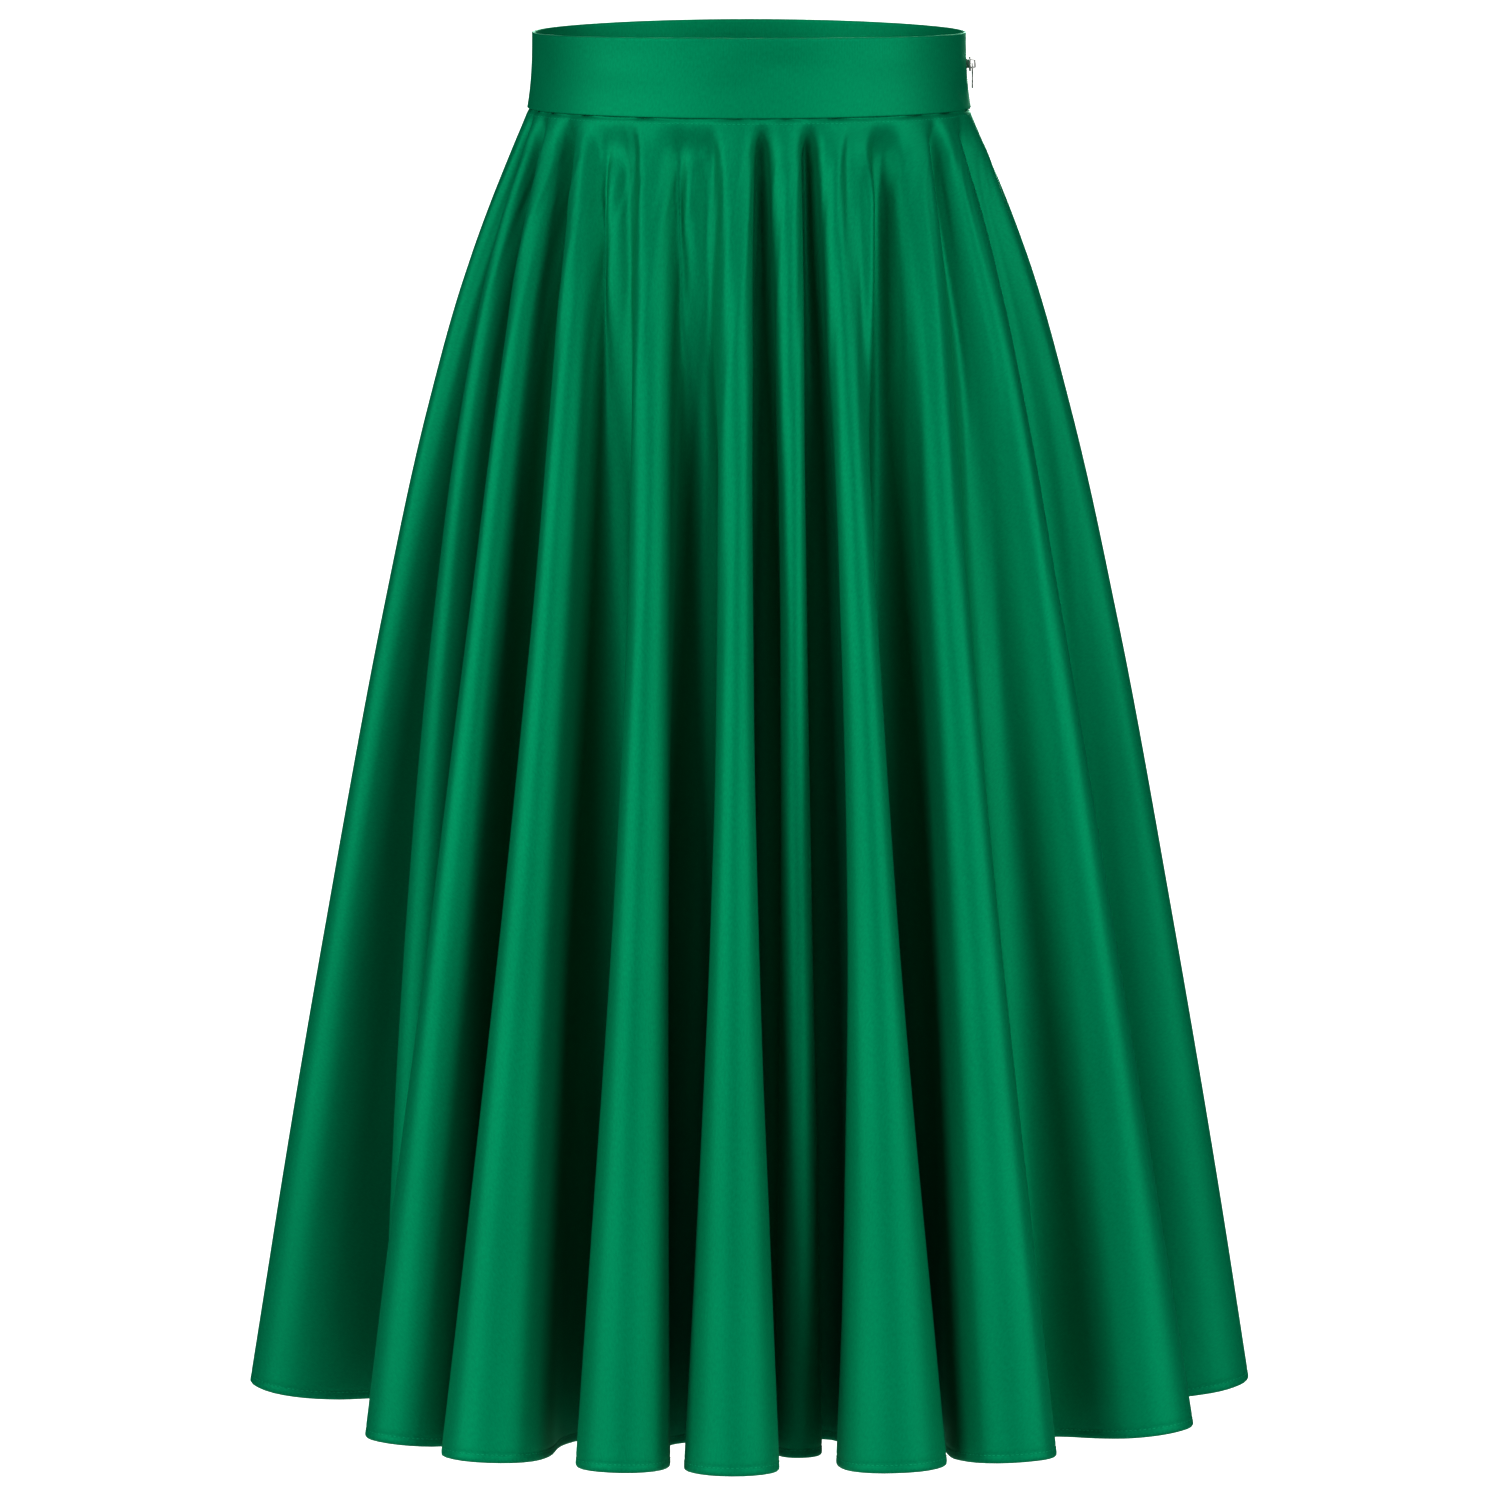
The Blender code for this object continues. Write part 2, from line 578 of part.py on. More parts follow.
def make_pull_tab(finish):
    """Flat tab with an eye round the slider's arch, hanging from its own bar."""
    pivot_x, pivot_z = pivot_place()
    holder = bpy.data.objects.new("tab_pivot", None)
    holder.location = (pivot_x, 0, pivot_z)
    bpy.context.scene.collection.objects.link(holder)
    outline = [(TAB_WIDTH / 2, TAB_BAR / 2)]
    outline += [(TAB_WIDTH / 2 * step.share, step.height - TAB_LENGTH) for step in TAB_STEPS]
    outline += [(-y, z) for y, z in reversed(outline)]
    build = bmesh.new()
    ring = [build.verts.new((-TAB_THICKNESS / 2, y, z)) for y, z in outline]
    face = build.faces.new(ring)
    made = bmesh.ops.extrude_face_region(build, geom=[face])["geom"]
    moved = [item for item in made if isinstance(item, bmesh.types.BMVert)]
    bmesh.ops.translate(build, verts=moved, vec=(TAB_THICKNESS, 0, 0))
    bmesh.ops.recalc_face_normals(build, faces=build.faces)
    mesh = bpy.data.meshes.new("zip_pull_tab")
    build.to_mesh(mesh)
    build.free()
    tab = place_object("zip_pull_tab", mesh, finish)
    tab.parent = holder
    eye = bmesh.new()
    box_into(eye, (pivot_x - TAB_THICKNESS, -TAB_EYE_WIDTH / 2, pivot_z - TAB_EYE_DEPTH),
             (pivot_x + TAB_THICKNESS, TAB_EYE_WIDTH / 2, pivot_z - TAB_BAR / 2))
    cut = tab.modifiers.new("eye", "BOOLEAN")
    cut.operation = "DIFFERENCE"
    cut.object = mesh_guide("tab_eye", eye)


def main():
    clear_scene()
    cloth = material("cloth", GREEN, 0.45)
    band_cloth = material("band_cloth", GREEN, 0.50)
    tape = material("zip_tape", DARK_GREEN, 0.80)
    steel = material("steel", STEEL, 0.30, 1.0)
    rows = skirt_rows()
    points = surface_points(rows, row_heights(rows))
    make_waistbands(band_cloth)
    make_skirt_panels(points, cloth)
    make_zip_tapes(points, tape)
    make_slider(steel)
    make_pull_tab(steel)


main()
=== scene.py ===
# Looks of a flared midi skirt in emerald green sateen, on a wide waistband with a side zip.
# Metres, +Z up, the front faces -Y and the zip is at +X.
import math
from collections import namedtuple

import bmesh
import bpy
import numpy as np
from mathutils import Matrix, Vector


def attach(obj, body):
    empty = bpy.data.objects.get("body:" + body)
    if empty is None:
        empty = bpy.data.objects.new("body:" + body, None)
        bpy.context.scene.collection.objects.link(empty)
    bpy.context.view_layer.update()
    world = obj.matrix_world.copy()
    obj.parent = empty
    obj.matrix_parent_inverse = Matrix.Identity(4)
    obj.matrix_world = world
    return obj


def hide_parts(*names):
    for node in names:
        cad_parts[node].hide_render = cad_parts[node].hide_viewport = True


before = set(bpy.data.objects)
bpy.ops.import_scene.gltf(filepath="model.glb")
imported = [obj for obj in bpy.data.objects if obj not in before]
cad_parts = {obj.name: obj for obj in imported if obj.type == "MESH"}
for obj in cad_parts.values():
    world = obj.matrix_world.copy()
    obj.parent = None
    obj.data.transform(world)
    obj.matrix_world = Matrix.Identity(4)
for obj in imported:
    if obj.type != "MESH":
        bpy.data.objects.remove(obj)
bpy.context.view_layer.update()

skirtBody = "skirt"
tabBody = "pull_tab"

# Camera, light and floor
studio = {
    "cameraPlace": (0.0, -4.5, 0.2891),
    "cameraAim": (0.0, 0.0, -0.397),
    "lens": 187.0,
    "sensor": 36.0,
    "shiftX": 0.00067,
    "floorHeight": -1.05,        # a waist is about that far above the ground
    "floorRadius": 0.75,
    "floorSides": 96,
    "floorColour": (0.86, 0.86, 0.85),
    "floorRoughness": 0.8,
    "background": 1.0,           # as the camera sees it
    "ambient": 0.004,
    "lampAim": (0.0, 0.0, -0.4),
    "gamma": 0.72,               # the photo has strong contrast
    "exposure": 0.53,
}
Lamp = namedtuple("Lamp", "name place size power")
lamps = (
    Lamp("left", (-2.4, -3.4, 0.8), (1.6, 1.8), 76),
    Lamp("right", (2.6, -3.3, 0.6), (1.5, 1.8), 60),
    Lamp("farLeft", (-4.0, -1.7, 0.5), (1.0, 2.0), 64),
    Lamp("farRight", (4.0, -1.7, 0.5), (1.0, 2.0), 60),
    Lamp("front", (0.1, -4.3, 0.9), (1.0, 1.4), 8),
    Lamp("behind", (0.6, 4.3, 0.8), (2.2, 1.8), 130),
)


def link(thing):
    bpy.context.scene.collection.objects.link(thing)
    return thing


def aimAt(thing, place, aim):
    thing.location = place
    thing.rotation_euler = (Vector(aim) - Vector(place)).to_track_quat("-Z", "Y").to_euler()


def makeCamera():
    lens = bpy.data.cameras.new("camera")
    lens.lens = studio["lens"]
    lens.sensor_width = studio["sensor"]
    lens.shift_x = studio["shiftX"]
    camera = link(bpy.data.objects.new("camera", lens))
    aimAt(camera, studio["cameraPlace"], studio["cameraAim"])
    bpy.context.scene.camera = camera


def makeLamps():
    for lamp in lamps:
        light = bpy.data.lights.new(lamp.name, "AREA")
        light.shape = "RECTANGLE"
        light.size, light.size_y = lamp.size
        light.energy = lamp.power
        aimAt(link(bpy.data.objects.new(lamp.name, light)), lamp.place, studio["lampAim"])


def makeBackground():
    # White behind the skirt, while only a little light comes from all round
    world = bpy.data.worlds.new("studio")
    bpy.context.scene.world = world
    world.use_nodes = True
    nodes, links = world.node_tree.nodes, world.node_tree.links
    seen = nodes["Background"]
    seen.inputs["Color"].default_value = (1, 1, 1, 1)
    seen.inputs["Strength"].default_value = studio["background"]
    glow = nodes.new("ShaderNodeBackground")
    glow.inputs["Color"].default_value = (1, 1, 1, 1)
    glow.inputs["Strength"].default_value = studio["ambient"]
    path = nodes.new("ShaderNodeLightPath")
    mix = nodes.new("ShaderNodeMixShader")
    links.new(path.outputs["Is Camera Ray"], mix.inputs["Fac"])
    links.new(glow.outputs[0], mix.inputs[1])
    links.new(seen.outputs[0], mix.inputs[2])
    links.new(mix.outputs[0], nodes["World Output"].inputs["Surface"])


def makeFloor():
    disc = bmesh.new()
    bmesh.ops.create_circle(disc, cap_ends=True, segments=studio["floorSides"],
                            radius=studio["floorRadius"])
    bmesh.ops.translate(disc, verts=disc.verts, vec=(0, 0, studio["floorHeight"]))
    mesh = bpy.data.meshes.new("floor")
    disc.to_mesh(mesh)
    disc.free()
    paint = bpy.data.materials.new("floorPaint")
    paint.use_nodes = True
    shader = paint.node_tree.nodes["Principled BSDF"]
    shader.inputs["Base Color"].default_value = (*studio["floorColour"], 1)
    shader.inputs["Roughness"].default_value = studio["floorRoughness"]
    mesh.materials.append(paint)
    link(bpy.data.objects.new("floor", mesh))


makeCamera()
makeLamps()
makeBackground()
makeFloor()
view = bpy.context.scene.view_settings
view.view_transform = "Standard"
view.gamma = studio["gamma"]
view.exposure = studio["exposure"]
print("studio ready")

# Finishes
sateen = {
    "dark": (0.0, 0.150, 0.076),
    "light": (0.0, 0.330, 0.168),
    "toneScale": 7.0,            # broad, faint changes of tone
    "toneDetail": 2.0,
    "toneShare": 0.25,
    "fleckScale": (900, 420, 1),
    "fleckDetail": 2.5,
    "fleckShare": 0.50,
    "threadScale": 1250,         # threads per metre
    "threadWobble": 0.4,
    "threadShare": 0.6,          # of the relief, beside the flecks
    "threadDepth": 0.00003,
    "reliefStrength": 0.5,
    "metallic": 0.28,            # a share of the shine takes the cloth's own colour
    "roughness": 0.56,
    "specular": 0.32,
    "sheen": 0.10,
    "sheenRoughness": 0.35,
    "tint": (0.05, 1.0, 0.55, 1),
}
threadFinish = {
    "colour": (0.010, 0.42, 0.230),
    "shade": 0.7,                # painted shade, as a share of that colour, in the hollows of the twist
    "twistScale": 2600,
    "roughness": 0.55,
}
tapeFinish = {
    "dark": (0.002, 0.060, 0.026),
    "light": (0.004, 0.115, 0.052),
    "ribScale": 1500,
    "ribDepth": 0.00008,
    "roughness": 0.85,
}
metalFinish = {
    "dark": (0.42, 0.42, 0.41),
    "light": (0.72, 0.72, 0.70),
    "brushScale": (300, 300, 4200),
    "metallic": 0.85,
    "roughness": 0.36,
    "scratchDepth": 0.00001,
}


def newFinish(name):
    paint = bpy.data.materials.new(name)
    paint.use_nodes = True
    nodes, links = paint.node_tree.nodes, paint.node_tree.links
    return paint, nodes, links, nodes["Principled BSDF"]


def colourMix(nodes, links, factor, dark, light):
    mix = nodes.new("ShaderNodeMix")
    mix.data_type = "RGBA"
    mix.inputs["A"].default_value = (*dark, 1)
    mix.inputs["B"].default_value = (*light, 1)
    links.new(factor, mix.inputs["Factor"])
    return mix.outputs["Result"]


def sateenFinish():
    # UVs are the flat cut in metres, so the threads run straight across each panel
    paint, nodes, links, shader = newFinish("sateen")
    cut = nodes.new("ShaderNodeUVMap")
    cut.uv_map = "cut"
    tone = nodes.new("ShaderNodeTexNoise")
    tone.inputs["Scale"].default_value = sateen["toneScale"]
    tone.inputs["Detail"].default_value = sateen["toneDetail"]
    links.new(cut.outputs["UV"], tone.inputs["Vector"])
    stretch = nodes.new("ShaderNodeMapping")
    stretch.inputs["Scale"].default_value = sateen["fleckScale"]
    links.new(cut.outputs["UV"], stretch.inputs["Vector"])
    fleck = nodes.new("ShaderNodeTexNoise")
    fleck.inputs["Scale"].default_value = 1.0
    fleck.inputs["Detail"].default_value = sateen["fleckDetail"]
    links.new(stretch.outputs["Vector"], fleck.inputs["Vector"])
    toneShare = nodes.new("ShaderNodeMath")
    toneShare.operation = "MULTIPLY_ADD"
    toneShare.inputs[1].default_value = sateen["toneShare"]
    toneShare.inputs[2].default_value = 0.5 - (sateen["toneShare"] + sateen["fleckShare"]) / 2
    links.new(tone.outputs["Fac"], toneShare.inputs[0])
    both = nodes.new("ShaderNodeMath")
    both.operation = "MULTIPLY_ADD"
    both.inputs[1].default_value = sateen["fleckShare"]
    links.new(fleck.outputs["Fac"], both.inputs[0])
    links.new(toneShare.outputs[0], both.inputs[2])
    colour = colourMix(nodes, links, both.outputs[0], sateen["dark"], sateen["light"])
    links.new(colour, shader.inputs["Base Color"])
    warp = nodes.new("ShaderNodeTexWave")
    warp.wave_profile = "SIN"
    warp.bands_direction = "X"
    warp.inputs["Scale"].default_value = sateen["threadScale"] / (2 * math.pi)
    warp.inputs["Distortion"].default_value = sateen["threadWobble"]
    links.new(cut.outputs["UV"], warp.inputs["Vector"])
    relief = nodes.new("ShaderNodeMath")
    relief.operation = "MULTIPLY_ADD"
    relief.inputs[1].default_value = sateen["threadShare"]
    links.new(warp.outputs["Fac"], relief.inputs[0])
    links.new(fleck.outputs["Fac"], relief.inputs[2])
    bump = nodes.new("ShaderNodeBump")
    bump.inputs["Strength"].default_value = sateen["reliefStrength"]
    bump.inputs["Distance"].default_value = sateen["threadDepth"]
    links.new(relief.outputs[0], bump.inputs["Height"])
    links.new(bump.outputs["Normal"], shader.inputs["Normal"])
    shader.inputs["Metallic"].default_value = sateen["metallic"]
    shader.inputs["Roughness"].default_value = sateen["roughness"]
    shader.inputs["Specular IOR Level"].default_value = sateen["specular"]
    shader.inputs["Specular Tint"].default_value = sateen["tint"]
    shader.inputs["Sheen Weight"].default_value = sateen["sheen"]
    shader.inputs["Sheen Roughness"].default_value = sateen["sheenRoughness"]
    shader.inputs["Sheen Tint"].default_value = sateen["tint"]
    return paint


def sewingFinish():
    paint, nodes, links, shader = newFinish("sewingThread")
    place = nodes.new("ShaderNodeTexCoord")
    twist = nodes.new("ShaderNodeTexNoise")
    twist.inputs["Scale"].default_value = threadFinish["twistScale"]
    links.new(place.outputs["Object"], twist.inputs["Vector"])
    # the darker copy of the thread colour, mixed in by noise, is painted shade in the hollows of
    # the twist
    dark = [part * threadFinish["shade"] for part in threadFinish["colour"]]
    colour = colourMix(nodes, links, twist.outputs["Fac"], dark, threadFinish["colour"])
    links.new(colour, shader.inputs["Base Color"])
    shader.inputs["Roughness"].default_value = threadFinish["roughness"]
    shader.inputs["Specular Tint"].default_value = sateen["tint"]
    return paint


def zipTapeFinish():
    # Ribs across the tape, as its UVs run along it
    paint, nodes, links, shader = newFinish("zipTape")
    cut = nodes.new("ShaderNodeUVMap")
    cut.uv_map = "cut"
    rib = nodes.new("ShaderNodeTexWave")
    rib.bands_direction = "DIAGONAL"
    rib.inputs["Scale"].default_value = tapeFinish["ribScale"] / (2 * math.pi)
    links.new(cut.outputs["UV"], rib.inputs["Vector"])
    colour = colourMix(nodes, links, rib.outputs["Fac"], tapeFinish["dark"], tapeFinish["light"])
    links.new(colour, shader.inputs["Base Color"])
    bump = nodes.new("ShaderNodeBump")
    bump.inputs["Distance"].default_value = tapeFinish["ribDepth"]
    links.new(rib.outputs["Fac"], bump.inputs["Height"])
    links.new(bump.outputs["Normal"], shader.inputs["Normal"])
    shader.inputs["Roughness"].default_value = tapeFinish["roughness"]
    return paint


def zipMetalFinish():
    # Satin nickel, faintly brushed along the zip
    paint, nodes, links, shader = newFinish("zipMetal")
    place = nodes.new("ShaderNodeTexCoord")
    stretch = nodes.new("ShaderNodeMapping")
    stretch.inputs["Scale"].default_value = metalFinish["brushScale"]
    links.new(place.outputs["Object"], stretch.inputs["Vector"])
    brush = nodes.new("ShaderNodeTexNoise")
    brush.inputs["Scale"].default_value = 1.0
    links.new(stretch.outputs["Vector"], brush.inputs["Vector"])
    colour = colourMix(nodes, links, brush.outputs["Fac"], metalFinish["dark"],
                       metalFinish["light"])
    links.new(colour, shader.inputs["Base Color"])
    bump = nodes.new("ShaderNodeBump")
    bump.inputs["Distance"].default_value = metalFinish["scratchDepth"]
    links.new(brush.outputs["Fac"], bump.inputs["Height"])
    links.new(bump.outputs["Normal"], shader.inputs["Normal"])
    shader.inputs["Metallic"].default_value = metalFinish["metallic"]
    shader.inputs["Roughness"].default_value = metalFinish["roughness"]
    return paint


cloth = sateenFinish()
sewing = sewingFinish()
tapeCloth = zipTapeFinish()
nickel = zipMetalFinish()
print("finishes ready")

# The drape. Angles on the body run from 0 at centre front through 90 degrees at the zip.
band = {
    "height": 0.0435, "wall": 0.0020, "shell": 0.0014, "overhang": 0.0003,
    "rimHalfWidth": 0.1250, "rimHalfDepth": 0.0940, "rimLift": 0.0018,
    "seamHalfWidth": 0.1280, "seamHalfDepth": 0.0960, "flarePower": 2.6,
    "columns": 150, "rows": 22,
    "edgeRound": 0.0005, "edgeSegments": 3, "edgeAngle": math.radians(60),
}
skirt = {
    "length": 0.763,             # along the cloth, from waist seam to hem
    "wall": 0.0012,
    "cutTurn": 0.90, "waistEase": 1.07,
    "gap": 0.0003,               # at the waist seam
    "sewnGap": 0.00006,          # at the side seams
    "hemHalfDepth": 0.2410, "depthPower": 1.3,
    "foldStart": 0.016, "startPower": 3,
    "ridgeShoulder": 0.4, "rippleStart": 0.05,
    "columns": 20,               # to each half fold
    "steps": 100, "halvings": 26, "angleSettle": 0.13, "recessPower": 1.6,
    "minSwing": -0.6, "maxSwing": math.radians(118), "deepestFold": 0.16, "deepestRecess": 0.75,
    "levelShare": 0.6, "steepestRun": 0.75,
    "topTuck": 0.0013, "topTuckReach": 0.0024,
    "hemPress": 0.00022, "hemPressRise": 0.0052, "hemPressReach": 0.0010,
    "hemRoll": 0.0008, "hemRollReach": 0.0012,
}
zipper = {
    "top": 0.0080, "end": 0.145, "gap": 0.0032, "closing": 0.008, "easeReach": 0.012,
    "trim": 0.003,               # left free of teeth and tape at the waist seam and the end
    "toothRow": 0.0014, "teethBandEnd": 0.97, "teethBandRows": 16, "sideColumns": 3,
    "tapeWidth": 0.0100, "tapeWall": 0.0006, "tapeClearance": 0.0007, "tapeColumns": 14,
    "tapeBandEnd": 0.96, "tapeBandRows": 14,
}

Flare = namedtuple("Flare", "length halfWidth")
flares = (
    Flare(0.000, 0.1277), Flare(0.030, 0.1400), Flare(0.090, 0.1618), Flare(0.180, 0.1870),
    Flare(0.300, 0.2135), Flare(0.480, 0.2475), Flare(0.650, 0.2770), Flare(0.763, 0.2952),
)
# Power of a fold's rounding: valleys are creases near the waist, broad half way down and narrow
# again at the hem
Breadth = namedtuple("Breadth", "length power")
breadths = (
    Breadth(0.000, 1.8), Breadth(0.090, 1.0), Breadth(0.180, 0.1), Breadth(0.300, -0.4),
    Breadth(0.450, -0.3), Breadth(0.620, 0.4), Breadth(0.763, 1.0),
)
# Each fold's crest angle at waist and hem, how far the crest lies back, and how broad it is
Fold = namedtuple("Fold", "name waist hem recess rounding")
frontFolds = (
    Fold("left_side", -82, -84, 0.000, 0.75), Fold("left_inner", -72, -64, 0.060, 1.00),
    Fold("left_outer", -62, -46.2, 0.002, 0.80), Fold("left", -47, -32.0, -0.010, 0.85),
    Fold("mid_left", -28, -15.2, -0.002, 0.88), Fold("centre", -3, -1.9, 0.002, 0.78),
    Fold("inner", 9.5, 7.5, 0.064, 0.80), Fold("mid_right", 22, 17.4, -0.004, 0.72),
    Fold("right", 49, 32.0, -0.012, 0.84), Fold("right_outer", 62, 54.5, -0.010, 0.75),
    Fold("right_side", 81, 86, 0.000, 0.75),
)
backFolds = (
    Fold("back_1", 99, 106, 0.004, 0.78), Fold("back_2", 118, 126, 0.000, 0.78),
    Fold("back_3", 138, 143, 0.030, 1.00), Fold("back_4", 159, 158, 0.000, 0.78),
    Fold("back_5", 179, 175, 0.004, 0.80), Fold("back_6", 200, 192, 0.000, 0.78),
    Fold("back_7", 221, 209, 0.036, 1.00), Fold("back_8", 242, 226, 0.000, 0.78),
    Fold("back_9", 262, 249, 0.004, 0.78),
)
folds = frontFolds + backFolds
# Valleys before the named folds that stay shallower than the rest, as a share of the others' depth
shallows = {"right_outer": 0.50, "right_side": 0.72, "back_7": 0.62}
valleyShares = np.array([shallows.get(fold.name, 1.0) for fold in folds])
foldColumns = 2 * skirt["columns"]
zipColumn = len(frontFolds) * foldColumns
# Ridges in the valley before the named fold, high up the skirt only, each between two troughs.
# Offset and spread are in half folds, the lengths of the peak and the fading are from the seam.
Ridge = namedtuple("Ridge", "before offset lift spread peak fade")
ridges = (
    Ridge("mid_left", 0.0, 0.0090, 0.58, 0.045, 0.40),
    Ridge("centre", 0.0, 0.0080, 0.55, 0.045, 0.24),
    Ridge("right", -0.35, 0.0090, 0.55, 0.050, 0.34),
    Ridge("back_2", 0.1, 0.0060, 0.55, 0.045, 0.22),
    Ridge("back_5", 0.0, 0.0080, 0.58, 0.045, 0.28),
    Ridge("back_8", -0.1, 0.0085, 0.55, 0.050, 0.34),
)
# Creases that start at the seam: a lift below 0 goes inwards
creases = (
    Ridge("left_side", 0.1, -0.0020, 0.50, 0.028, 0.11),
    Ridge("left_inner", 0.0, -0.0028, 0.45, 0.026, 0.13),
    Ridge("left_outer", 0.1, -0.0026, 0.45, 0.030, 0.12),
    Ridge("left", 0.0, -0.0042, 0.50, 0.028, 0.19),
    Ridge("mid_left", -0.72, -0.0020, 0.35, 0.026, 0.14),
    Ridge("mid_left", 0.70, -0.0024, 0.35, 0.024, 0.15),
    Ridge("centre", 0.66, -0.0024, 0.35, 0.026, 0.16),
    Ridge("inner", 0.0, -0.0036, 0.48, 0.026, 0.15),
    Ridge("mid_right", 0.0, -0.0040, 0.48, 0.028, 0.17),
    Ridge("right", -1.00, -0.0018, 0.35, 0.024, 0.13),
    Ridge("right", 0.40, -0.0028, 0.40, 0.030, 0.15),
    Ridge("right_outer", 0.0, -0.0044, 0.50, 0.026, 0.19),
    Ridge("right_side", -0.2, -0.0024, 0.45, 0.028, 0.12),
    Ridge("back_1", 0.0, -0.0024, 0.48, 0.026, 0.11),
    Ridge("back_3", 0.0, -0.0036, 0.45, 0.026, 0.15),
    Ridge("back_4", 0.1, -0.0034, 0.48, 0.028, 0.16),
    Ridge("back_5", 0.68, -0.0024, 0.35, 0.026, 0.14),
    Ridge("back_6", 0.0, -0.0040, 0.48, 0.026, 0.15),
    Ridge("back_7", 0.1, -0.0030, 0.45, 0.030, 0.13),
    Ridge("back_9", 0.0, -0.0034, 0.48, 0.028, 0.13),
)
# Faint long ripples along the hanging cloth: waves round the skirt, depth, and a phase in turns
Ripple = namedtuple("Ripple", "waves depth phase drift")
ripples = (
    Ripple(73, 0.00022, 0.13, 0.9), Ripple(131, 0.00014, 0.57, -1.3),
    Ripple(211, 0.00008, 0.31, 2.1),
)


def smoothBetween(rows, at):
    places = [row[0] for row in rows]
    values = [row[1] for row in rows]
    slopes = np.gradient(values, places)
    index = min(max(np.searchsorted(places, at) - 1, 0), len(rows) - 2)
    span = places[index + 1] - places[index]
    t = (at - places[index]) / span
    start = (1 + 2 * t) * (1 - t) ** 2 * values[index] + t * (1 - t) ** 2 * span * slopes[index]
    end = t * t * (3 - 2 * t) * values[index + 1] - t * t * (1 - t) * span * slopes[index + 1]
    return start + end


def crestRing(length):
    # half width and half depth of the ring that the crests touch
    halfWidth = smoothBetween(flares, length)
    startWidth = flares[0].halfWidth
    startDepth = band["seamHalfDepth"] - band["overhang"]
    grown = (halfWidth - startWidth) / (flares[-1].halfWidth - startWidth)
    growth = skirt["hemHalfDepth"] - startDepth
    return halfWidth, startDepth + growth * grown ** skirt["depthPower"]


def ringPoint(ring, angle, inset=0.0):
    return (ring[0] - inset) * np.sin(angle) - 1j * (ring[1] - inset) * np.cos(angle)


def ringHeading(ring, angle):
    raw = np.arctan2(ring[1] * np.sin(angle), ring[0] * np.cos(angle))
    return angle + np.angle(np.exp(1j * (raw - angle)))


def foldAngles(length):
    settle = math.exp(-length / skirt["angleSettle"])
    crests = np.radians([fold.hem + (fold.waist - fold.hem) * settle for fold in folds])
    before = np.roll(crests, 1)
    before[0] -= 2 * math.pi
    return crests, (crests + before) / 2


def foldRounding(length):
    return np.array([fold.rounding for fold in folds]) ** smoothBetween(breadths, length)


def unitPaths(headingFrom, headingTo, side, swing, rounding):
    # half folds one unit long, whose heading swings out and back
    s = (np.arange(skirt["steps"]) + 0.5) / skirt["steps"]
    rising = s ** rounding[:, None]
    falling = 1 - (1 - s) ** rounding[:, None]
    wave = np.sin(math.pi * (rising if side < 0 else falling))
    heading = headingFrom[:, None] + (headingTo - headingFrom)[:, None] * s
    return np.cumsum(np.exp(1j * (heading + side * swing[:, None] * wave)), axis=1) / skirt["steps"]


def halfFolds(start, end, headingFrom, headingTo, side, rounding):
    # the swing is found by halving, so that each curve leaves and arrives along the ring
    chord = end - start
    low = np.full(len(start), skirt["minSwing"])
    high = np.full(len(start), skirt["maxSwing"])
    for _ in range(skirt["halvings"]):
        swing = (low + high) / 2
        reach = unitPaths(headingFrom, headingTo, side, swing, rounding)[:, -1]
        short = np.angle(chord * np.conj(reach)) * side > 0
        low = np.where(short, swing, low)
        high = np.where(short, high, swing)
    paths = unitPaths(headingFrom, headingTo, side, swing, rounding)
    scale = chord / paths[:, -1]
    return start[:, None] + paths * scale[:, None], np.abs(scale)


def section(length, depth, shares=1.0):
    ring = crestRing(length)
    crestAngles, valleyAngles = foldAngles(length)
    late = (length / skirt["length"]) ** skirt["recessPower"]
    recess = np.array([fold.recess for fold in folds]) * late
    rounding = foldRounding(length)
    crests = ringPoint(ring, crestAngles, np.minimum(recess, depth * skirt["deepestRecess"]))
    valleys = ringPoint(ring, valleyAngles, depth * shares)
    crestHeadings = ringHeading(ring, crestAngles)
    valleyHeadings = ringHeading(ring, valleyAngles)
    nextHeadings = np.roll(valleyHeadings, -1)
    nextHeadings[-1] += 2 * math.pi
    rise = halfFolds(valleys, crests, valleyHeadings, crestHeadings, -1, rounding)
    fall = halfFolds(crests, np.roll(valleys, -1), crestHeadings, nextHeadings, 1, rounding)
    return valleys, rise, fall


def ringGirth(ring):
    flatness = ((ring[0] - ring[1]) / (ring[0] + ring[1])) ** 2
    return math.pi * (ring[0] + ring[1]) * (1 + 3 * flatness / (10 + math.sqrt(4 - 3 * flatness)))


seamGirth = ringGirth(crestRing(0.0))
cutRadius = skirt["waistEase"] * seamGirth / (skirt["cutTurn"] * 2 * math.pi)


def levelSection(length):
    # the folds are as deep as the flat cut's arc at that level makes them, less what is eased in,
    # and the shallow valleys then take less cloth
    if length == 0:
        return section(length, 0.0)
    smooth = ringGirth(crestRing(length))
    arc = skirt["cutTurn"] * 2 * math.pi * (cutRadius + length)
    opened = 1 - math.exp(-(length / skirt["foldStart"]) ** skirt["startPower"])
    target = smooth + (arc - smooth) * opened
    low, high = 0.0, skirt["deepestFold"]
    for _ in range(skirt["halvings"]):
        depth = (low + high) / 2
        _, rise, fall = section(length, depth)
        if rise[1].sum() + fall[1].sum() < target:
            low = depth
        else:
            high = depth
    return section(length, depth, valleyShares)


def readPath(start, path, stops):
    shares = np.linspace(0, 1, skirt["steps"] + 1)
    whole = np.concatenate(([start], path))
    return np.interp(stops, shares, whole.real) + 1j * np.interp(stops, shares, whole.imag)


